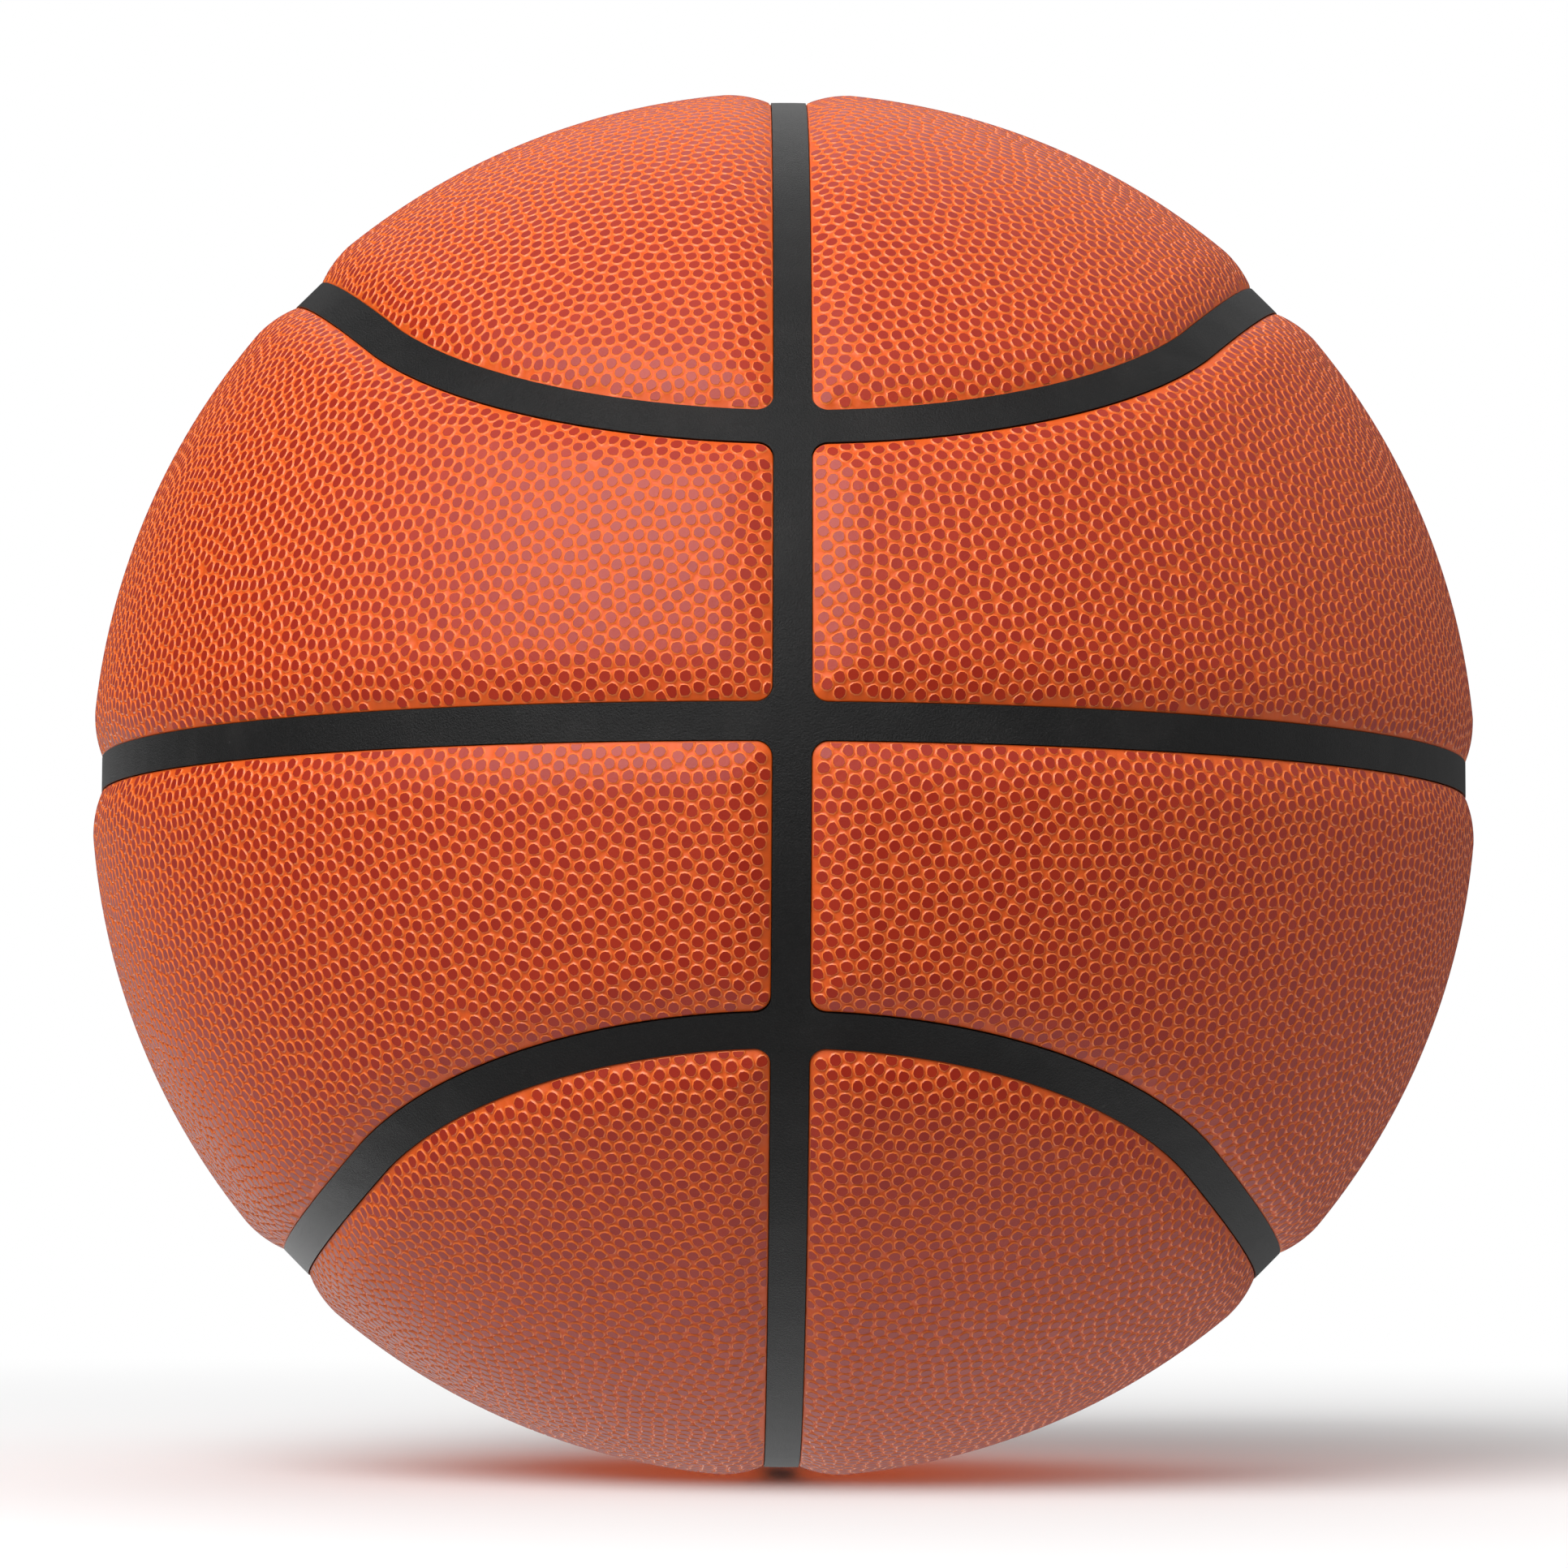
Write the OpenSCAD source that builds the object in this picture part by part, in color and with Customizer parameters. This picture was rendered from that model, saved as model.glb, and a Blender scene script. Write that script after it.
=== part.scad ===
// Full-size basketball with eight die-cut panels over a ribbed rubber carcass.
// The origin is the ball's centre. +Z is up, the level seam lies in the plane z = 0,
// the upright seam lies in the plane x = 0, and the two seams cross in front at -Y.
// Every seam is a circle on the ball, so each edge and shoulder is a turned surface.

/* [Ball] */
// Diameter over the crowned panels
ball_d = 241; // [230:0.5:250]
// Width of the recessed seam between two panels
seam_w = 6.1; // [4.5:0.1:6.4]
// Depth of the seam floor below the crown of the panels
seam_depth = 1.75; // [1.4:0.05:2.1]

/* [Seam layout] */
// Degrees above the level seam at which an oval seam crosses the upright seam
oval_end_lift = 23.25; // [20:0.25:28]
// Degrees above the level seam at which an oval seam passes the side of the ball
oval_side_lift = 45; // [41:0.5:49]

/* [Panels] */
// Thickness of the cover
cover_t = 1.4; // [1:0.1:1.8]
// How far in from its edge a panel starts to fall towards the seam
shoulder_run = 8; // [5:0.5:10]
// Radius of that falling shoulder in section
shoulder_r = 18; // [16:0.5:26]
// Radius of a panel's corners
corner_r = 2.6; // [1.5:0.1:4]
// Foam left under a panel's edge
foam_edge_t = 0.3; // [0.2:0.05:0.6]
// How far the foam stops short of a panel's edge
foam_inset = 0.4; // [0.2:0.1:1]

/* [Layers] */
// Thickness of the carcass rubber under the foam
carcass_t = 1.1; // [0.8:0.1:2]
// Thickness of the wound yarn
winding_t = 0.5; // [0.3:0.1:1]
// Thickness of the bladder
bladder_t = 0.7; // [0.5:0.1:1.2]
// Thickness of the cement between two layers
bond_line = 0.1; // [0.05:0.01:0.15]

/* [Valve] */
// Degrees from the upright seam to the valve, at the back of the ball
valve_turn = 12; // [9:0.5:20]
// Degrees from the level seam down to the valve
valve_drop = 11.5; // [9:0.5:14]
// Diameter of the rubber stem that shows in the panel
stem_d = 7.6; // [6.4:0.2:9]
// Gap all round between the stem and the panel's hole
stem_gap = 0.2; // [0.1:0.05:0.5]
// How far the stem's face lies below the panel's surface
stem_sink = 0.5; // [0.2:0.1:1]
// Rounding of the stem's rim
stem_round = 0.6; // [0.3:0.1:0.8]
// Diameter of the flange that is bonded inside the bladder
flange_d = 28; // [20:1:36]
// Thickness of the flange
flange_t = 1.2; // [0.8:0.1:2]
// Diameter of the boss that hangs inside the flange
boss_d = 9.6; // [9.2:0.2:12]
// Length of the boss below the flange
boss_l = 5; // [3:0.5:8]
// Diameter of the plug's head
head_d = 5.4; // [5:0.1:5.6]
// Thickness of the plug's head
head_t = 1.4; // [1:0.1:2]
// Diameter of the plug's shank
shank_d = 4.2; // [3.6:0.1:4.6]
// Diameter of the needle hole
needle_d = 2; // [1.6:0.1:2.4]
// Diameter of the hole's flared mouth
mouth_d = 3; // [2.6:0.1:3.6]
// Thickness of the closed lips at the hole's inner end
lip_t = 1.6; // [1:0.1:2.5]

/* [Hidden] */
ball_r = ball_d / 2;
half_seam = seam_w / 2;
overrun = 1; // how far a cut runs past what it cuts
corner_break = 6; // degrees by which a corner's arc meets its edges
shoulder_break = 2.5; // degrees by which a shoulder meets the crown
end_break = 1.5; // degrees by which an oval's end arc meets its side arcs
deep_share = 0.6;
far_share = 1.5;
deep_r = ball_r * deep_share; // where sections start, well inside all layers
far_r = ball_r * far_share; // where sections end, well outside the ball
$fn = 180;

// An oval's side arcs lie in planes through the centre, and its end arcs are turned about tilted axes.
end_tilt = atan((cos(oval_end_lift) - cos(oval_side_lift) / cos(end_break)) / sin(oval_end_lift));
end_r = 90 - oval_end_lift - end_tilt;
end_lift = 90 - end_r;
end_bend_r = ball_r * tan(end_r);
// Where a side arc hands over to an end arc, as a turn about the side arc's axis for an inner panel's cut,
// which lies square to the seam, and as a tilt about X for an outer panel's cut.
tip_turn = atan(tan(end_tilt) / sin(oval_side_lift));
tip_tilt = atan(tan(end_tilt) / pow(sin(oval_side_lift), 2));

// The shoulder is an arc that leaves the crown at shoulder_a from the seam's middle.
shoulder_a = (half_seam + shoulder_run) / ball_r * 180 / PI;
shoulder_c = ray(ball_r, shoulder_a) - ray(shoulder_r, shoulder_a - shoulder_break);
crown_y = (ball_r * sin(shoulder_a) + shoulder_c.y) / 2;

// Radius at which the foam's outer face ends at a panel's edge, and the layers below it.
foam_edge_r = norm([edge_x(cover_t + bond_line, half_seam), half_seam]);
carcass_r = foam_edge_r - foam_edge_t - bond_line;
winding_r = carcass_r - carcass_t - bond_line;
bladder_r = winding_r - winding_t - bond_line;
flange_r = bladder_r - bladder_t - bond_line;
rib_r = ball_r - seam_depth;

// Heights along the valve's axis, from the ball's centre.
stem_top = ball_r - stem_sink;
boss_end = flange_r - flange_t - boss_l;
shank_end = boss_end + bond_line;
head_seat = stem_top - head_t;
mouth_h = (mouth_d - needle_d) / 2;

function ray(r, a) = r * [cos(a), sin(a)];

// Where a shoulder at this depth meets a panel's edge, along the seam's radius.
function edge_x(depth, wall) =
  shoulder_c.x + sqrt(pow(shoulder_r - depth, 2) - pow(shoulder_c.y - wall, 2));

// A corner's centre across a seam, where bend is the seam's own radius of curve or 0.
function corner_y(side, c, bend) = bend == 0 ? side * c : bend - sqrt(pow(bend - side * c, 2) - c * c);

// Section of all that lies this far past the middle of a seam, on the axis's side.
module wall_section(wall, lift) {
  side = ray(wall, lift + 90);
  polygon([side + ray(deep_r, lift), side + ray(far_r, lift), [0, far_r], [0, deep_r]]);
}

// Section of the other side, as far as a piece there can reach.
module trim_section(wall, lift) {
  rotate(lift) translate([deep_r, -deep_r]) square([far_r - deep_r, deep_r + wall]);
}

// Section of what lies above a shoulder, from just past the panel's edge to the crown.
module shoulder_section(depth, wall) {
  difference() {
    translate([shoulder_c.x, wall - overrun]) square([far_r - shoulder_c.x, crown_y - wall + overrun]);
    translate(shoulder_c) circle(r = shoulder_r - depth);
  }
}

// A turned solid whose closing line is kept out of the right half.
module turned() {
  rotate([0, 0, 180]) rotate_extrude() children();
}

// A ball whose closing line is on the left, out of what the right half keeps.
module ball(r) {
  rotate([0, 0, 180]) sphere(r = r);
}

// Turned about the axis of the oval's right side.
module side_turned() {
  rotate([0, -oval_side_lift, 0]) turned() children();
}

// Turned about the axis of an oval's end.
module end_turned(back) {
  mirror([0, back, 0]) rotate([end_tilt, 0, 0]) turned() children();
}

// The part of its child round an oval's end, for an inner panel.
module inner_end(back) {
  intersection() {
    mirror([0, back, 0]) rotate([0, -oval_side_lift, 0]) rotate([0, 0, -tip_turn]) tip_box();
    end_turned(back) children();
  }
}

// The same for an outer panel.
module outer_end(back) {
  intersection() {
    outer_tip(back);
    end_turned(back) children();
  }
}

module outer_tip(back) {
  mirror([0, back, 0]) rotate([tip_tilt, 0, 0]) tip_box();
}

module tip_box() {
  translate([0, -far_r, -far_r]) cube([far_r, far_r, 2 * far_r]);
}

// Clears an oval to just short of its wall, so that no skin is left where its side cut and end cut meet.
module oval_middle(back, wall) {
  end_turned(back) wall_section(overrun - wall, end_lift);
}

// Stands its children on the upright seam, this many degrees above the level seam.
module at_crossing(lift, back) {
  mirror([0, back, 0]) rotate([90 - lift, 0, 0]) children();
}

// The widened meeting of two seams, whose four inner corners are round.
module crossing(wall, bend) {
  round_r = corner_r + half_seam - wall;
  c = wall + round_r * cos(corner_break);
  top = corner_y(1, c, bend);
  bottom = corner_y(-1, c, bend);
  translate([0, 0, deep_r]) linear_extrude(far_r - deep_r) difference() {
    translate([-c, bottom]) square([2 * c, top - bottom]);
    for (side = [-1, 1], y = [bottom, top]) {
      translate([side * c, y]) circle(r = round_r);
    }
  }
}

module oval_crossings(wall) {
  for (back = [0, 1]) {
    at_crossing(oval_end_lift, back) crossing(wall, end_bend_r);
  }
}

module level_crossings(wall) {
  for (back = [0, 1]) {
    at_crossing(0, back) crossing(wall, 0);
  }
}

module right_half(wall) {
  translate([wall, -far_r, -far_r]) cube(2 * far_r);
}

module right_shoulder(depth, wall) {
  rotate([0, 90, 0]) rotate_extrude() shoulder_section(depth, wall);
}

// An inner panel's outline with upright walls, up to this radius.
module inner_block(r, wall) {
  difference() {
    intersection() {
      ball(r);
      right_half(wall);
      side_turned() wall_section(wall, 0);
    }
    inner_end(0) trim_section(wall, end_lift);
    inner_end(1) trim_section(wall, end_lift);
  }
}

module outer_block(r, wall) {
  difference() {
    intersection() {
      ball(r);
      right_half(wall);
      rotate([0, -90, 0]) right_half(wall);
    }
    oval_middle(0, wall);
    oval_middle(1, wall);
    difference() {
      side_turned() wall_section(-wall, 0);
      outer_tip(0);
      outer_tip(1);
    }
    outer_end(0) wall_section(-wall, end_lift);
    outer_end(1) wall_section(-wall, end_lift);
  }
}

module inner_body(depth, wall) {
  difference() {
    inner_block(ball_r - depth, wall);
    right_shoulder(depth, wall);
    side_turned() shoulder_section(depth, wall);
    inner_end(0) rotate(end_lift) shoulder_section(depth, wall);
    inner_end(1) rotate(end_lift) shoulder_section(depth, wall);
  }
}

module outer_body(depth, wall) {
  difference() {
    outer_block(ball_r - depth, wall);
    right_shoulder(depth, wall);
    turned() shoulder_section(depth, wall);
    difference() {
      side_turned() mirror([0, 1]) shoulder_section(depth, wall);
      outer_tip(0);
      outer_tip(1);
    }
    outer_end(0) rotate(end_lift) mirror([0, 1]) shoulder_section(depth, wall);
    outer_end(1) rotate(end_lift) mirror([0, 1]) shoulder_section(depth, wall);
  }
}

module inner_panel() {
  color("orangered") difference() {
    inner_body(0, half_seam);
    inner_body(cover_t, half_seam - overrun);
    ball(carcass_r);
    oval_crossings(half_seam);
  }
}

module outer_panel() {
  color("orangered") difference() {
    outer_body(0, half_seam);
    outer_body(cover_t, half_seam - overrun);
    ball(carcass_r);
    oval_crossings(half_seam);
    level_crossings(half_seam);
  }
}

module inner_foam() {
  color("whitesmoke") difference() {
    inner_body(cover_t + bond_line, half_seam + foam_inset);
    ball(carcass_r + bond_line);
    oval_crossings(half_seam + foam_inset);
  }
}

module outer_foam() {
  color("whitesmoke") difference() {
    outer_body(cover_t + bond_line, half_seam + foam_inset);
    ball(carcass_r + bond_line);
    oval_crossings(half_seam + foam_inset);
    level_crossings(half_seam + foam_inset);
  }
}

// Puts a piece made for the top right in one of the four quarters.
module quarter(left, bottom) {
  mirror([left, 0, 0]) mirror([0, 0, bottom]) children();
}

// Stands its children on the valve's axis, which leaves the ball's centre towards the back.
module at_valve() {
  rotate([0, 0, -valve_turn]) rotate([-90 - valve_drop, 0, 0]) children();
}

module stem_hole(gap) {
  at_valve() cylinder(h = ball_r + overrun, r = stem_d / 2 + gap);
}

module inner_pocket(wall) {
  difference() {
    inner_block(rib_r + overrun, wall);
    ball(carcass_r);
    oval_crossings(wall);
  }
}

module outer_pocket(wall) {
  difference() {
    outer_block(rib_r + overrun, wall);
    ball(carcass_r);
    oval_crossings(wall);
    level_crossings(wall);
  }
}

// The carcass is thick enough for its ribs, and each panel's foam lies in a pocket.
module carcass() {
  wall = half_seam - bond_line;
  color("dimgray") difference() {
    // The sphere's closing line runs along the upright rib.
    rotate([0, 0, 90]) sphere(r = rib_r);
    for (left = [0, 1], bottom = [0, 1]) {
      quarter(left, bottom) inner_pocket(wall);
      quarter(left, bottom) outer_pocket(wall);
    }
    sphere(r = carcass_r - carcass_t);
    stem_hole(bond_line);
  }
}

module yarn_winding() {
  color("ivory") difference() {
    sphere(r = winding_r);
    sphere(r = winding_r - winding_t);
    stem_hole(bond_line);
  }
}

module bladder() {
  color("black") difference() {
    sphere(r = bladder_r);
    sphere(r = bladder_r - bladder_t);
    stem_hole(bond_line);
  }
}

module valve_housing() {
  color("darkslategray") at_valve() rotate_extrude() difference() {
    union() {
      intersection() {
        difference() {
          circle(r = flange_r);
          circle(r = flange_r - flange_t);
        }
        square([flange_d / 2, ball_r]);
      }
      translate([0, boss_end]) square([boss_d / 2, flange_r - flange_t / 2 - boss_end]);
      translate([0, boss_end]) square([stem_d / 2, stem_top - stem_round - boss_end]);
      translate([0, boss_end]) square([stem_d / 2 - stem_round, stem_top - boss_end]);
      translate([stem_d / 2 - stem_round, stem_top - stem_round]) circle(r = stem_round);
    }
    translate([0, boss_end - overrun])
      square([shank_d / 2 + bond_line, stem_top - boss_end + 2 * overrun]);
    translate([0, head_seat - bond_line])
      square([head_d / 2 + bond_line, head_t + bond_line + overrun]);
  }
}

module valve_core() {
  color("black") at_valve() rotate_extrude() difference() {
    union() {
      translate([0, shank_end]) square([shank_d / 2, stem_top - shank_end]);
      translate([0, head_seat]) square([head_d / 2, head_t]);
    }
    translate([0, shank_end + lip_t]) square([needle_d / 2, stem_top + overrun - shank_end - lip_t]);
    polygon([
      [0, stem_top - mouth_h],
      [needle_d / 2, stem_top - mouth_h],
      [mouth_d / 2, stem_top],
      [mouth_d / 2, stem_top + overrun],
      [0, stem_top + overrun]
    ]);
  }
}

quarter(0, 0) inner_panel();  // inner_panel_top_right
quarter(1, 0) inner_panel();  // inner_panel_top_left
quarter(0, 1) inner_panel();  // inner_panel_bottom_right
quarter(1, 1) inner_panel();  // inner_panel_bottom_left
quarter(0, 0) outer_panel();  // outer_panel_top_right
quarter(1, 0) outer_panel();  // outer_panel_top_left
difference() {  // outer_panel_bottom_right
  quarter(0, 1) outer_panel();
  stem_hole(stem_gap);
}
quarter(1, 1) outer_panel();  // outer_panel_bottom_left
quarter(0, 0) inner_foam();  // inner_foam_top_right
quarter(1, 0) inner_foam();  // inner_foam_top_left
quarter(0, 1) inner_foam();  // inner_foam_bottom_right
quarter(1, 1) inner_foam();  // inner_foam_bottom_left
quarter(0, 0) outer_foam();  // outer_foam_top_right
quarter(1, 0) outer_foam();  // outer_foam_top_left
difference() {  // outer_foam_bottom_right
  quarter(0, 1) outer_foam();
  stem_hole(bond_line);
}
quarter(1, 1) outer_foam();  // outer_foam_bottom_left
carcass();
yarn_winding();
bladder();
valve_housing();
valve_core();
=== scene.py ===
import bpy
import math
import numpy as np
from mathutils import Matrix, Vector, kdtree
from mathutils.geometry import delaunay_2d_cdt


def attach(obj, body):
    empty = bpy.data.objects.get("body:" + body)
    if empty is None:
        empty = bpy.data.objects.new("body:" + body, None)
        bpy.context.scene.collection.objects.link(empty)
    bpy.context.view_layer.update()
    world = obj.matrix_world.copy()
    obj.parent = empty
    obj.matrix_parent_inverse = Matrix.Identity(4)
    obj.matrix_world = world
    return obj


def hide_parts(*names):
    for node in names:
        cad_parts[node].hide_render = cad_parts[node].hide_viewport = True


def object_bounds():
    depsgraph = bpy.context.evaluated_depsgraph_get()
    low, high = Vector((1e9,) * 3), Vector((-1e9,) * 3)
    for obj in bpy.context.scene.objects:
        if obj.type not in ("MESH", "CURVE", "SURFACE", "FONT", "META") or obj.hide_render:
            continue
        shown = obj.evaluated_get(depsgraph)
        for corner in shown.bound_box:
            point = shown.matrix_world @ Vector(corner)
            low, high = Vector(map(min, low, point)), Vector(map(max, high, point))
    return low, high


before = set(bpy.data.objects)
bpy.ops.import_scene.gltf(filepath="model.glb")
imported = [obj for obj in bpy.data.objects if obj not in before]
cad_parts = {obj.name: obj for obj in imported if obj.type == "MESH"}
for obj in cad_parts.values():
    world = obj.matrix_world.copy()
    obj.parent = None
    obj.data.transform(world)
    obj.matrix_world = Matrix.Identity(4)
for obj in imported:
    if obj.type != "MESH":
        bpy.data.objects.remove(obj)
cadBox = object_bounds()
print("frame loaded")

# The covers are worked out in millimetres and written in metres.
mm = 0.001
rng = np.random.default_rng(7)


# The seams, from the same sizes as the solids.

ball = {"radius": 120.5, "halfSeam": 3.05, "cover": 1.4, "cornerR": 2.6}
shoulder = {"run": 8.0, "radius": 18.0, "break": math.radians(2.5)}
oval = {"endLift": math.radians(23.25), "sideLift": math.radians(45), "endBreak": math.radians(1.5)}
valve = {"turn": math.radians(12), "drop": math.radians(11.5), "hole": 4.0, "land": 1.0, "spokes": 48,
         "pebbleRoom": 1.1, "backRoom": 2.0}

endTilt = math.atan((math.cos(oval["endLift"]) - math.cos(oval["sideLift"]) / math.cos(oval["endBreak"]))
                    / math.sin(oval["endLift"]))
endRing = math.pi / 2 - oval["endLift"] - endTilt
tipTurn = math.atan(math.tan(endTilt) / math.sin(oval["sideLift"]))
shoulderTurn = (ball["halfSeam"] + shoulder["run"]) / ball["radius"]
shoulderX = (ball["radius"] * math.cos(shoulderTurn)
             - shoulder["radius"] * math.cos(shoulderTurn - shoulder["break"]))
shoulderY = (ball["radius"] * math.sin(shoulderTurn)
             - shoulder["radius"] * math.sin(shoulderTurn - shoulder["break"]))
crownY = (ball["radius"] * math.sin(shoulderTurn) + shoulderY) / 2
valveAxis = np.array([math.sin(valve["turn"]) * math.cos(valve["drop"]),
                      math.cos(valve["turn"]) * math.cos(valve["drop"]), -math.sin(valve["drop"])])


def unit(p):
    return p / np.linalg.norm(p, axis=-1, keepdims=True)


# The two directions along the ball at one place, to the right and up as seen from outside.
def rightAndUp(axis):
    right = unit(np.cross([0, 0, 1.0], axis))
    return right, np.cross(axis, right)


# How far points on the ball lie past the middle of an oval seam, positive inside the oval.
def insideOval(p):
    y, z = np.abs(p[:, 1]), np.abs(p[:, 2])
    high = y * math.sin(endTilt) + z * math.cos(endTilt)
    wide = np.sqrt(np.maximum(0, (p ** 2).sum(1) - high ** 2))
    end = high * math.sin(endRing) - wide * math.cos(endRing)
    side = (z - np.abs(p[:, 0])) / math.sqrt(2)
    atTip = (z + np.abs(p[:, 0])) / math.sqrt(2) * math.sin(tipTurn) < y * math.cos(tipTurn)
    return np.where(atTip, np.minimum(end, side), side)


# Distance in from the middle of the nearest seam, with the panel's corners rounded.
def edgeDistance(p, inner):
    p = unit(p) * ball["radius"]
    gaps = [np.abs(p[:, 0]), insideOval(p) if inner else -insideOval(p)]
    if not inner:
        gaps.append(np.abs(p[:, 2]))
    gaps = np.stack(gaps, 1)
    reach = ball["halfSeam"] + ball["cornerR"]
    least = gaps.min(1)
    rounded = reach - np.linalg.norm(np.maximum(0, reach - gaps), axis=1)
    return np.where(least < reach, rounded, least)


# Edge distance that also turns negative on the far side of the upright or level seam.
def panelEdge(p, inner, sign):
    e = edgeDistance(p, inner)
    wrong = (p[:, 0] * sign[0] < 0) | (p[:, 2] * sign[2] < 0)
    return np.where(wrong, -1, e)


# Radius of the crowned surface at this distance from the seam, and at this depth below it.
def crown(e, depth=0.0):
    bow = np.sqrt(np.maximum(0, (shoulder["radius"] - depth) ** 2 - (shoulderY - e) ** 2))
    fall = np.sqrt((shoulderX + bow) ** 2 + e ** 2)
    return np.where(e < crownY, np.minimum(fall, ball["radius"] - depth), ball["radius"] - depth)


# Moves points along the ball until they are at least, or exactly, this far from the seam.
def pushIn(p, inner, target, exact=False):
    nudge = 0.01
    rounds = 4
    p = unit(p) * ball["radius"]
    for attempt in range(rounds):
        e = edgeDistance(p, inner)
        slope = np.stack([(edgeDistance(p + step, inner) - e) / nudge for step in np.eye(3) * nudge], 1)
        slope -= (slope * unit(p)).sum(1, keepdims=True) * unit(p)
        need = target - e
        if not exact:
            need = np.maximum(0, need)
        p = p + need[:, None] * slope / np.maximum(1e-6, (slope ** 2).sum(1, keepdims=True))
        p = unit(p) * ball["radius"]
    return p


# Foot and top are shares of a pebble's outline. Jitter, apart and widest are shares of the spacing.
# A higher value of corners makes them sharper, and swell makes up for the room that rounding takes.
pebble = {"spacing": 2.39, "sides": 10, "foot": 0.955, "top": 0.73, "height": 0.29, "jitter": 0.3,
          "near": 8, "rounds": 14, "apart": 1.1, "push": 0.32, "corners": 5, "swell": 1.03, "widest": 0.6}


# An even spiral of points over the whole ball.
def spiral(count):
    k = np.arange(count) + 0.5
    z = 1 - 2 * k / count
    turn = math.pi * (1 + 5 ** 0.5) * k
    wide = np.sqrt(1 - z * z)
    return np.stack([wide * np.cos(turn), wide * np.sin(turn), z], 1) * ball["radius"]


# Pebble centres: the spiral shaken up, then pushed apart until it is nearly even.
def scatter():
    p = spiral(int(4 * math.pi * ball["radius"] ** 2 / (pebble["spacing"] ** 2 * math.sqrt(3) / 2)))
    p = unit(p + rng.normal(0, pebble["jitter"] * pebble["spacing"], p.shape)) * ball["radius"]
    for step in range(pebble["rounds"]):
        away = p[:, None, :] - p[neighbours(p)]
        gap = np.linalg.norm(away, axis=2, keepdims=True)
        push = np.maximum(0, pebble["apart"] * pebble["spacing"] - gap)
        p = unit(p + pebble["push"] * (away / gap * push).sum(1)) * ball["radius"]
    return p


def neighbours(p):
    tree = kdtree.KDTree(len(p))
    for i, co in enumerate(p.tolist()):
        tree.insert(co, i)
    tree.balance()
    return np.array([[found[1] for found in tree.find_n(co, pebble["near"] + 1)[1:]] for co in p.tolist()])


# Each pebble's outline is a rounded polygon that stops short of its neighbours.
def outlines(p, near):
    out = unit(p)
    east = unit(np.cross(np.where(np.abs(out[:, 2:3]) < 0.9, [[0, 0, 1.0]], [[1.0, 0, 0]]), out))
    north = np.cross(out, east)
    away = p[near] - p[:, None, :]
    gap = np.linalg.norm(away, axis=2)
    toward = np.arctan2((away * north[:, None, :]).sum(2), (away * east[:, None, :]).sum(2))
    first = rng.uniform(0, 2 * math.pi, len(p))[:, None]
    turn = first + np.arange(pebble["sides"]) * 2 * math.pi / pebble["sides"]
    face = np.maximum(0, np.cos(turn[:, :, None] - toward[:, None, :])) / (gap[:, None, :] / 2)
    reach = (face ** pebble["corners"]).sum(2) ** (-1 / pebble["corners"]) * pebble["swell"]
    reach = np.minimum(reach, pebble["widest"] * pebble["spacing"])
    ray = np.cos(turn)[:, :, None] * east[:, None, :] + np.sin(turn)[:, :, None] * north[:, None, :]
    return reach[:, :, None] * ray


centres = scatter()
shapes = outlines(centres, neighbours(centres))
tones = rng.uniform(0, 1, len(centres))
centreEdge = {True: edgeDistance(centres, True), False: edgeDistance(centres, False)}
insideNow = insideOval(centres) > 0
print("pebbles placed:", len(centres))


# A panel's outline is found by rays from a place inside it, with stride and limit in radians, then halvings.
# The middles are lifts from the level seam, and a band's rays start from a lift of their own.
search = {"rays": 3600, "stride": 0.01, "limit": 2, "halvings": 24,
          "innerMiddle": math.radians(56), "outerMiddle": math.radians(17), "bandLift": math.radians(12)}


def panelMiddle(sign, inner):
    lift = search["innerMiddle"] if inner else search["outerMiddle"]
    return np.array([math.cos(lift), 0, math.sin(lift)]) * sign


# A panel's outline, anticlockwise from outside, as an even row of points at this distance from the seams.
def outline(sign, inner, target, spacing):
    turn = np.linspace(0, 2 * math.pi, search["rays"], endpoint=False)
    middle = panelMiddle(sign, inner)
    east, north = rightAndUp(middle)

    # A straight walk from the middle: along great circles in a half oval, by turn and lift in a band.
    def walk(reach):
        if inner:
            away = np.cos(turn)[:, None] * east + np.sin(turn)[:, None] * north
            return (np.cos(reach)[:, None] * middle + np.sin(reach)[:, None] * away) * ball["radius"]
        across, lift = reach * np.cos(turn), search["bandLift"] + reach * np.sin(turn)
        p = np.stack([np.cos(lift) * np.cos(across), np.cos(lift) * np.sin(across), np.sin(lift)], 1)
        return p * sign * ball["radius"]

    # March out to the first place that lies past the edge, then halve.
    reach = np.zeros(len(turn))
    going = np.ones(len(turn), bool)
    while going.any():
        reach[going] += search["stride"]
        going &= (panelEdge(walk(reach), inner, sign) >= target) & (reach < search["limit"])
    low, high = reach - search["stride"], reach
    for step in range(search["halvings"]):
        mid = (low + high) / 2
        past = panelEdge(walk(mid), inner, sign) < target
        high = np.where(past, mid, high)
        low = np.where(past, low, mid)

    # Even spacing along the row.
    p = walk(low)
    gap = np.linalg.norm(np.roll(p, -1, axis=0) - p, axis=1)
    along = np.concatenate([[0], np.cumsum(gap)])
    count = int(along[-1] / spacing)
    want = np.arange(count) * along[-1] / count
    loop = np.concatenate([p, p[:1]])
    even = np.stack([np.interp(want, along, loop[:, axis]) for axis in range(3)], 1)
    if not inner and sign[0] * sign[2] < 0:
        even = even[::-1]
    return pushIn(even, inner, target, True)


# Panels are triangulated in a flat map. Its scale and tolerance are in the map's own units.
flatMap = {"scale": 100, "tolerance": 1e-7}


def flatten(p, middle):
    east, north = rightAndUp(middle)
    q = unit(p)
    depth = 1 + q @ middle
    return np.stack([(q @ east) / depth, (q @ north) / depth], 1) * flatMap["scale"]


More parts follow.
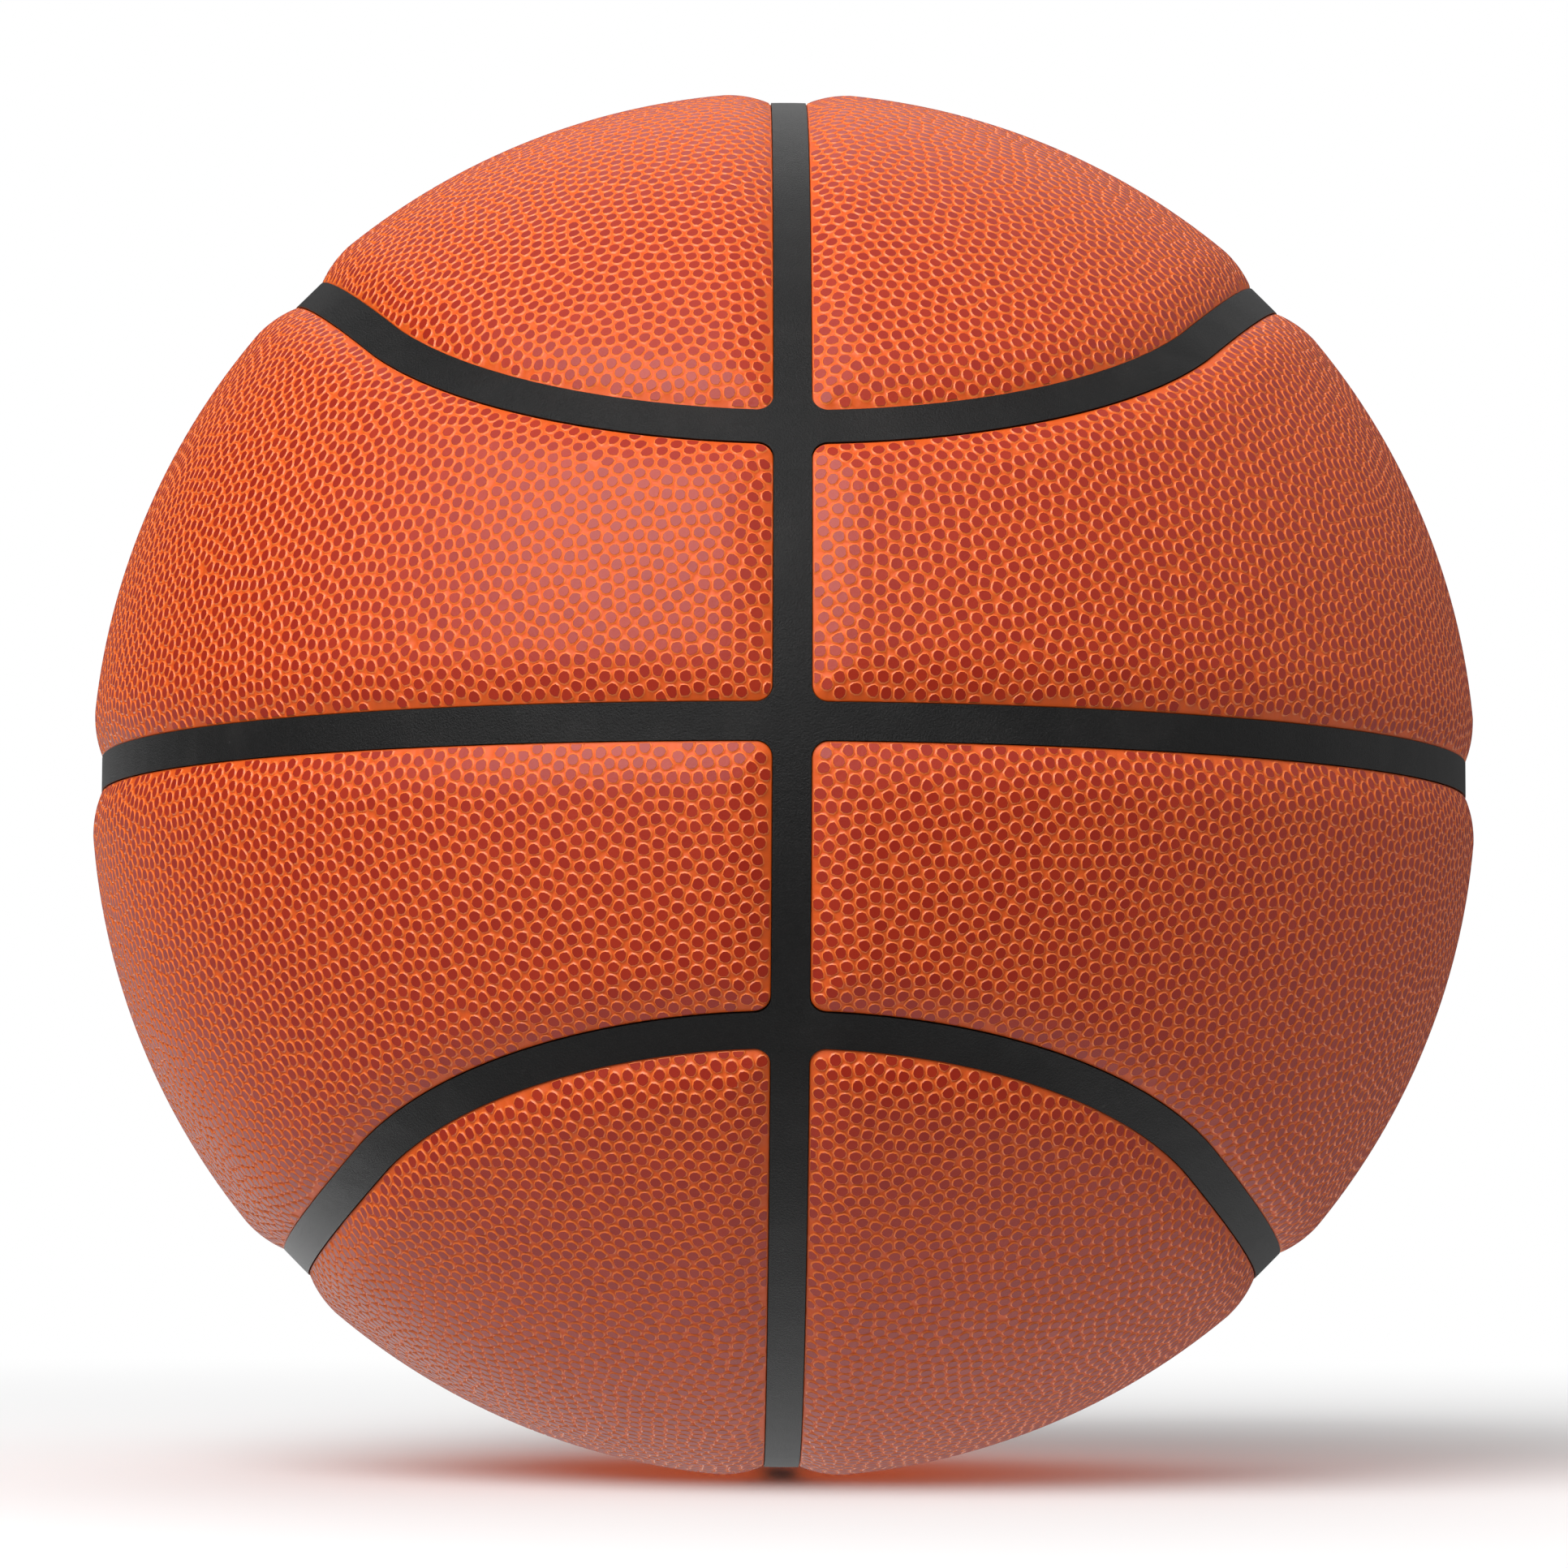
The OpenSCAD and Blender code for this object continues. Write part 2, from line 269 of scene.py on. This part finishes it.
# Triangles inside the first loop and outside all the others.
def triangulate(points, loops):
    spots = [Vector(co) for co in points.tolist()]
    found = delaunay_2d_cdt(spots, [], loops, 0, flatMap["tolerance"], True)
    source = [old[0] if old else -1 for old in found[3]]
    tris = [[source[i] for i in tri] for tri, held in zip(found[2], found[5]) if held == [0]]
    return np.array([tri for tri in tris if min(tri) >= 0])


# Four-sided faces between two loops of the same length.
def bridge(a, b):
    return np.stack([a, np.roll(a, -1, axis=-1), np.roll(b, -1, axis=-1), b], -1).reshape(-1, 4)


# Named rows of points, kept end to end in one list.
class Rows:
    def __init__(self):
        self.points = np.zeros((0, 3))
        self.at = {}

    def put(self, name, points):
        self.at[name] = np.arange(len(points)) + len(self.points)
        self.points = np.concatenate([self.points, points])


# A panel's rolled lip: flat and soft are how far in from the wall, and how far down, its two upper rows lie.
# The rooms keep the pebbles' centres, feet and tops clear of the flat row.
lip = {"wall": 0.45, "soft": (0.08, 0.22), "flat": (0.24, 0.2), "step": 0.5,
       "centreRoom": 0.05, "footRoom": 0.04, "topRoom": 0.12, "wornWidth": 1.6}
plainBack = {"points": 5000, "room": 1.5}


def fromValve(p):
    return np.linalg.norm(np.cross(p, valveAxis), axis=1)


# One row round the valve's hole, this far down and this far out from the hole's edge.
def holeRow(depth, out):
    east, north = rightAndUp(valveAxis)
    turn = np.arange(valve["spokes"]) * 2 * math.pi / valve["spokes"]
    spoke = np.cos(turn)[:, None] * east + np.sin(turn)[:, None] * north
    return unit(spoke * (valve["hole"] + out) + valveAxis * ball["radius"]) * (ball["radius"] - depth)


# The pebbles that stand on one panel.
def panelPebbles(sign, inner, hasValve):
    mine = (centres[:, 0] * sign[0] > 0) & (centres[:, 2] * sign[2] > 0) & (insideNow == inner)
    mine &= centreEdge[inner] > ball["halfSeam"] + lip["flat"][0] + lip["centreRoom"]
    if hasValve:
        mine &= fromValve(centres) > valve["hole"] + valve["land"] + valve["pebbleRoom"]
    return np.nonzero(mine)[0]


# All the points of one panel: pebble feet and tops, the rows of the lip and wall, and a plain back.
def panelRows(sign, inner, hasValve, index):
    wall = ball["halfSeam"]
    flatEdge = wall + lip["flat"][0]
    foot = (centres[index][:, None, :] + shapes[index] * pebble["foot"]).reshape(-1, 3)
    top = (centres[index][:, None, :] + shapes[index] * pebble["top"]).reshape(-1, 3)
    foot = pushIn(foot, inner, flatEdge + lip["footRoom"])
    top = pushIn(top, inner, flatEdge + lip["topRoom"])
    edge = outline(sign, inner, flatEdge, lip["step"])
    wallLine = pushIn(edge, inner, wall, True)

    def place(p, depth):
        return unit(p) * (crown(edgeDistance(p, inner)) - depth)[:, None]

    def placeUnder(p):
        return unit(p) * crown(edgeDistance(p, inner), ball["cover"])[:, None]

    rows = Rows()
    rows.put("foot", place(foot, pebble["height"]))
    rows.put("flat", place(edge, lip["flat"][1]))
    if hasValve:
        rows.put("holeFlat", holeRow(lip["flat"][1], valve["land"]))
    rows.put("top", place(top, 0))
    rows.put("soft", place(pushIn(edge, inner, wall + lip["soft"][0], True), lip["soft"][1]))
    rows.put("wall", place(wallLine, lip["wall"]))
    rows.put("back", placeUnder(wallLine))
    if hasValve:
        rows.put("holeWall", holeRow(lip["wall"], 0))
        rows.put("holeBack", holeRow(ball["cover"], 0))
    under = spiral(plainBack["points"])
    under = under[panelEdge(under, inner, sign) > wall + plainBack["room"]]
    if hasValve:
        under = under[fromValve(under) > valve["hole"] + valve["backRoom"]]
    rows.put("under", placeUnder(under))
    return rows


# All the faces of one panel, each anticlockwise from outside.
def panelFaces(rows, middle, hasValve):
    at = rows.at
    foot = at["foot"].reshape(-1, pebble["sides"])
    top = at["top"].reshape(-1, pebble["sides"])
    loops = [at["flat"].tolist()] + foot.tolist()
    if hasValve:
        loops.append(at["holeFlat"].tolist())
    valleys = triangulate(flatten(rows.points[:at["top"][0]], middle), loops)

    backNames = ["back", "holeBack", "under"] if hasValve else ["back", "under"]
    backIndex = np.concatenate([at[key] for key in backNames])
    backLoops = [(at["back"] - at["back"][0]).tolist()]
    if hasValve:
        backLoops.append((at["holeBack"] - at["holeBack"][0] + len(at["back"])).tolist())
    back = backIndex[triangulate(flatten(rows.points[backIndex], middle), backLoops)][:, ::-1]

    quads = [bridge(foot, top)]
    for low, high in (("soft", "flat"), ("wall", "soft"), ("back", "wall")):
        quads.append(bridge(at[low], at[high]))
    if hasValve:
        for high, low in (("holeFlat", "holeWall"), ("holeWall", "holeBack")):
            quads.append(bridge(at[high], at[low]))
    return valleys.tolist() + back.tolist() + np.concatenate(quads).tolist() + top.tolist()


# One pebbled cover panel as an object.
def coverPanel(name, inner, left, bottom):
    sign = np.array([-1 if left else 1, 1, -1 if bottom else 1])
    hasValve = not inner and not left and bottom
    index = panelPebbles(sign, inner, hasValve)
    rows = panelRows(sign, inner, hasValve, index)
    mesh = bpy.data.meshes.new(name)
    mesh.from_pydata((rows.points * mm).tolist(), [], panelFaces(rows, panelMiddle(sign, inner), hasValve))
    mesh.shade_smooth()

    # The rim of each top is a sharp edge, so the tops stay flat.
    foot, top = rows.at["foot"], rows.at["top"]
    ends = np.zeros(2 * len(mesh.edges), np.int32)
    mesh.edges.foreach_get("vertices", ends)
    onTop = (ends >= top[0]) & (ends <= top[-1])
    sharp = mesh.attributes.new("sharp_edge", "BOOLEAN", "EDGE")
    sharp.data.foreach_set("value", onTop.reshape(-1, 2).all(1))

    # What the material reads: how high on a pebble, the pebble's own tone, and how near the lip.
    high = np.zeros(len(rows.points))
    high[top] = 1
    tone = np.full(len(rows.points), 0.5)
    tone[foot] = np.repeat(tones[index], pebble["sides"])
    tone[top] = tone[foot]
    near = np.clip(1 - (edgeDistance(rows.points, inner) - ball["halfSeam"]) / lip["wornWidth"], 0, 1)
    for key, values in (("high", high), ("tone", tone), ("rim", near)):
        mesh.attributes.new(key, "FLOAT", "POINT").data.foreach_set("value", values.astype(np.float32))
    panel = bpy.data.objects.new(name, mesh)
    bpy.context.scene.collection.objects.link(panel)
    return panel


# Node trees are written as sums of sockets.
class Wire:
    def __init__(self, nodes, socket):
        self.nodes, self.socket = nodes, socket

    def __add__(self, other):
        return self.nodes.maths("ADD", self, other)

    def __sub__(self, other):
        return self.nodes.maths("SUBTRACT", self, other)

    def __rsub__(self, other):
        return self.nodes.maths("SUBTRACT", other, self)

    def __mul__(self, other):
        return self.nodes.maths("MULTIPLY", self, other)

    __radd__ = __add__
    __rmul__ = __mul__


class Nodes:
    def __init__(self, owner):
        owner.use_nodes = True
        self.tree = owner.node_tree
        self.tree.nodes.clear()

    def add(self, kind, settings={}, inputs={}):
        node = self.tree.nodes.new(kind)
        for key, value in settings.items():
            setattr(node, key, value)
        for key, value in inputs.items():
            if isinstance(value, Wire):
                self.tree.links.new(value.socket, node.inputs[key])
            else:
                node.inputs[key].default_value = value
        return node

    def wire(self, node, key=0):
        return Wire(self, node.outputs[key])

    def maths(self, operation, a, b=0.0):
        return self.wire(self.add("ShaderNodeMath", {"operation": operation}, {0: a, 1: b}))

    def between(self, value, low, high):
        return self.wire(self.add("ShaderNodeMapRange", {"interpolation_type": "SMOOTHSTEP"},
                                  {"Value": value, "From Min": low, "From Max": high}))

    def mix(self, factor, a, b):
        return self.wire(self.add("ShaderNodeMix", {"data_type": "RGBA"}, {0: factor, 6: a, 7: b}), 2)

    def attribute(self, name):
        return self.wire(self.add("ShaderNodeAttribute", {"attribute_name": name}), "Fac")

    def noise(self, scale, detail, roughness=0.55):
        where = self.wire(self.add("ShaderNodeTexCoord"), "Object")
        inputs = {"Vector": where, "Scale": scale, "Detail": detail, "Roughness": roughness}
        return self.wire(self.add("ShaderNodeTexNoise", {}, inputs), "Fac")

    def bump(self, height, distance, strength):
        inputs = {"Height": height, "Distance": distance, "Strength": strength}
        return self.wire(self.add("ShaderNodeBump", {}, inputs))

    def finish(self, inputs):
        shader = self.add("ShaderNodeBsdfPrincipled", {}, inputs)
        self.add("ShaderNodeOutputMaterial", {}, {"Surface": self.wire(shader)})


# Colours are written as the sRGB values seen, and kept as linear.
def colour(red, green, blue):
    shares = [value / 255 for value in (red, green, blue)]
    return tuple(s / 12.92 if s < 0.0404 else ((s + 0.055) / 1.055) ** 2.4 for s in shares) + (1.0,)


def newMaterial(name):
    material = bpy.data.materials.new(name)
    return material, Nodes(material)


# Valleys and crests each have two tones. Slope is a paler colour painted on the pebbles' slopes all round, a
# painted highlight for the light caught on their rims, and worn is the rubbed lip.
coverLook = {"valley": (colour(212, 80, 14), colour(222, 92, 20)),
             "crest": (colour(154, 32, 8), colour(168, 42, 11)),
             "aged": colour(156, 46, 22), "slope": colour(244, 136, 66), "worn": colour(214, 150, 128),
             "rough": 0.52, "gloss": 0.4, "grain": 2600, "grainDepth": 0.00006}


def coverMaterial():
    material, n = newMaterial("cover")
    high, tone, rim = n.attribute("high"), n.attribute("tone"), n.attribute("rim")
    patch = n.noise(28, 4, 0.6)
    grain = n.noise(coverLook["grain"], 2, 0.6)
    top = n.between(high + 0.06 * grain, 0.9, 1.01)
    # Painted highlight: this mask picks out the pebbles' slopes, which are painted paler to stand in for
    # their lit rims.
    slope = n.between(high, 0.05, 0.35) * (1 - top)
    worn = n.between(rim + 0.5 * n.noise(160, 3) + 0.45 * n.noise(22, 2), 1.45, 1.75)
    valley = n.mix(patch, *coverLook["valley"])
    crest = n.mix(tone, *coverLook["crest"])
    crest = n.mix(n.between(patch, 0.55, 0.75) * 0.4, crest, coverLook["aged"])
    # The slope mask mixes the pale slope colour into the valleys here: painted highlight on the pebbles'
    # rims.
    base = n.mix(top, n.mix(slope * 0.55, valley, coverLook["slope"]), crest)
    base = n.mix(worn * 0.75, base, coverLook["worn"])
    n.finish({"Base Color": base, "Roughness": coverLook["rough"] - 0.11 * top - 0.2 * slope + 0.05 * grain,
              "Specular IOR Level": coverLook["gloss"],
              "Normal": n.bump(0.6 * grain + 0.4 * n.noise(900, 3), coverLook["grainDepth"], 0.8)})
    return material


# Rubber with fine specks, faint clouds and a few scuffs.
rubberLook = {"gloss": 0.27, "scuff": colour(92, 90, 88), "grainDepth": 0.0002}


def rubberMaterial(name, dark, pale, scale, rough):
    material, n = newMaterial(name)
    speck = n.between(n.noise(scale * 1.7, 2, 0.6), 0.5, 0.8)
    cloud = n.between(n.noise(60, 4, 0.6), 0.45, 0.75)
    scuff = n.between(n.noise(420, 3, 0.75), 0.66, 0.74) * cloud
    base = n.mix(speck * 0.5 + cloud * 0.25, dark, pale)
    base = n.mix(scuff * 0.5, base, rubberLook["scuff"])
    n.finish({"Base Color": base, "Roughness": rough + 0.1 * speck, "Specular IOR Level": rubberLook["gloss"],
              "Normal": n.bump(n.noise(scale, 4, 0.7), rubberLook["grainDepth"], 0.9)})
    return material


def plainMaterial(name, one, other, scale, rough):
    material, n = newMaterial(name)
    grain = n.noise(scale, 4, 0.6)
    n.finish({"Base Color": n.mix(grain, one, other), "Roughness": rough + 0.1 * grain,
              "Normal": n.bump(grain, 0.0002, 0.5)})
    return material


cover = coverMaterial()
foam = plainMaterial("foam", colour(226, 222, 212), colour(206, 200, 188), 700, 0.85)
nodeMaterials = {
    "carcass": rubberMaterial("seam_rubber", colour(4, 4, 4), colour(46, 44, 43), 3200, 0.38),
    "valve_housing": rubberMaterial("valve_rubber", colour(24, 23, 23), colour(52, 50, 48), 1800, 0.55),
    "valve_core": rubberMaterial("core_rubber", colour(12, 12, 12), colour(34, 33, 32), 2200, 0.5),
    "yarn_winding": plainMaterial("yarn", colour(214, 208, 190), colour(184, 176, 156), 1200, 0.7),
    "bladder": plainMaterial("bladder_rubber", colour(20, 20, 20), colour(34, 33, 33), 300, 0.45),
}


def dress(name, material):
    mesh = bpy.data.objects[name].data
    if mesh.materials:
        for i in range(len(mesh.materials)):
            mesh.materials[i] = material
    else:
        mesh.materials.append(material)


for kind in ("inner", "outer"):
    for level in ("top", "bottom"):
        for side in ("right", "left"):
            node = "{}_panel_{}_{}".format(kind, level, side)
            name = "cover_{}_{}_{}".format(kind, level, side)
            panel = coverPanel(name, kind == "inner", side == "left", level == "bottom")
            panel.data.materials.append(cover)
            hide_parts(node)
            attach(panel, "root")
            dress("{}_foam_{}_{}".format(kind, level, side), foam)
            print(panel.name, "triangles:", sum(len(face.vertices) - 2 for face in panel.data.polygons))

for name, material in nodeMaterials.items():
    dress(name, material)
print("nodes dressed")


# Camera at the photograph's angle. Distances are in metres; focal, middle and size are in pixels.
view = {"yaw": math.radians(0.61), "pitch": math.radians(-4.74), "roll": math.radians(0.25),
        "distance": 0.904, "farthest": 50, "film": 36,
        "focal": 6343, "middle": (965.66, 967.18), "size": 1932}

turnBall = (Matrix.Rotation(view["roll"], 3, "Y") @ Matrix.Rotation(view["pitch"], 3, "X")
            @ Matrix.Rotation(view["yaw"], 3, "Z"))
backTurn = turnBall.transposed()
lookAlongY = Matrix(((1, 0, 0), (0, 0, -1), (0, 1, 0)))
lens = bpy.data.cameras.new("camera")
lens.sensor_width = view["film"]
lens.lens = view["focal"] * view["film"] / view["size"]
lens.shift_x = (view["size"] / 2 - view["middle"][0]) / view["size"]
lens.shift_y = (view["middle"][1] - view["size"] / 2) / view["size"]
lens.clip_end = view["farthest"]
camera = bpy.data.objects.new("camera", lens)
stand = Matrix.Translation(backTurn @ Vector((0, -view["distance"], 0)))
camera.matrix_world = stand @ (backTurn @ lookAlongY).to_4x4()
bpy.context.scene.collection.objects.link(camera)
bpy.context.scene.camera = camera
print("camera set")


# A pale round floor that turns white away from the ball. It takes the ball's shadow but sends it no light.
ground = {"rings": [0.05, 0.12, 0.25, 0.5, 1.0, 2.0, 4.0], "spokes": 96, "height": cadBox[0][2],
          "pale": (0.9, 0.9, 0.9, 1), "fade": (0.2, 0.75)}
whiteLight = {"Color": (1, 1, 1, 1), "Strength": 1.0}

floorMesh = bpy.data.meshes.new("floor")
spokes = ground["spokes"]
floorPoints = [(0, 0, ground["height"])]
for ring in ground["rings"]:
    for i in range(spokes):
        turn = i * 2 * math.pi / spokes
        floorPoints.append((ring * math.cos(turn), ring * math.sin(turn), ground["height"]))
floorFaces = [(0, 1 + i, 1 + (i + 1) % spokes) for i in range(spokes)]
for k in range(len(ground["rings"]) - 1):
    for i in range(spokes):
        a, b = 1 + k * spokes + i, 1 + k * spokes + (i + 1) % spokes
        floorFaces.append((a, a + spokes, b + spokes, b))
floorMesh.from_pydata(floorPoints, [], floorFaces)
floor = bpy.data.objects.new("floor", floorMesh)
bpy.context.scene.collection.objects.link(floor)
floorMaterial, n = newMaterial("floor")
where = n.wire(n.add("ShaderNodeTexCoord"), "Object")
spot = n.wire(n.add("ShaderNodeVectorMath", {"operation": "LENGTH"}, {0: where}), "Value")
far = n.between(spot, *ground["fade"])
matte = n.wire(n.add("ShaderNodeBsdfDiffuse", {}, {"Color": ground["pale"]}))
bright = n.wire(n.add("ShaderNodeEmission", {}, whiteLight))
seen = n.wire(n.add("ShaderNodeLightPath"), "Is Camera Ray")
blend = n.wire(n.add("ShaderNodeMixShader", {}, {0: far * seen, 1: matte, 2: bright}))
n.add("ShaderNodeOutputMaterial", {}, {"Surface": blend})
floorMesh.materials.append(floorMaterial)
floor.visible_diffuse = False
floor.visible_glossy = False

# Soft light in smooth lobes: the brightest in front and above, weaker ones from the sides, behind and below.
world = bpy.data.worlds.new("world")
bpy.context.scene.world = world
n = Nodes(world)
toward = n.wire(n.add("ShaderNodeTexCoord"), "Generated")


# A direction from the ball: degrees to the right of the front, and degrees up.
def direction(across, lift):
    across, lift = math.radians(across), math.radians(lift)
    return Vector((math.cos(lift) * math.sin(across), -math.cos(lift) * math.cos(across), math.sin(lift)))


def lobe(across, lift, sharpness, strength):
    lean = n.wire(n.add("ShaderNodeVectorMath", {"operation": "DOT_PRODUCT"},
                        {0: toward, 1: direction(across, lift)}), "Value")
    return n.maths("EXPONENT", sharpness * (lean - 1)) * strength


sky = (lobe(-25, 38, 8.0, 3.2) + lobe(90, 35, 4.0, 0.76) + lobe(180, 50, 16.0, 1.75)
       + lobe(-150, -20, 16.0, 1.96) + lobe(105, -42, 6.0, 0.75) + lobe(-75, -45, 6.0, 0.5)
       + lobe(180, -72, 5.0, 1.65))
seen = n.wire(n.add("ShaderNodeLightPath"), "Is Camera Ray")
soft = n.wire(n.add("ShaderNodeBackground", {}, {"Color": (1, 1, 1, 1), "Strength": sky}))
white = n.wire(n.add("ShaderNodeBackground", {}, whiteLight))
around = n.wire(n.add("ShaderNodeMixShader", {}, {0: seen, 1: soft, 2: white}))
n.add("ShaderNodeOutputWorld", {}, {"Surface": around})

# One large round soft box in front, up on the left.
softBox = {"across": -30, "lift": 35, "distance": 1.3, "halfAngle": math.radians(22), "glow": 4.2}
lamp = bpy.data.lights.new("soft_box", "AREA")
lamp.shape = "DISK"
lamp.size = 2 * softBox["distance"] * math.tan(softBox["halfAngle"])
lamp.energy = softBox["glow"] * math.pi * math.pi * (lamp.size / 2) ** 2
light = bpy.data.objects.new("soft_box", lamp)
light.location = direction(softBox["across"], softBox["lift"]) * softBox["distance"]
light.rotation_euler = (-light.location).to_track_quat("-Z", "Y").to_euler()
bpy.context.scene.collection.objects.link(light)
print("floor and light set")

bpy.context.scene.view_settings.view_transform = "Standard"
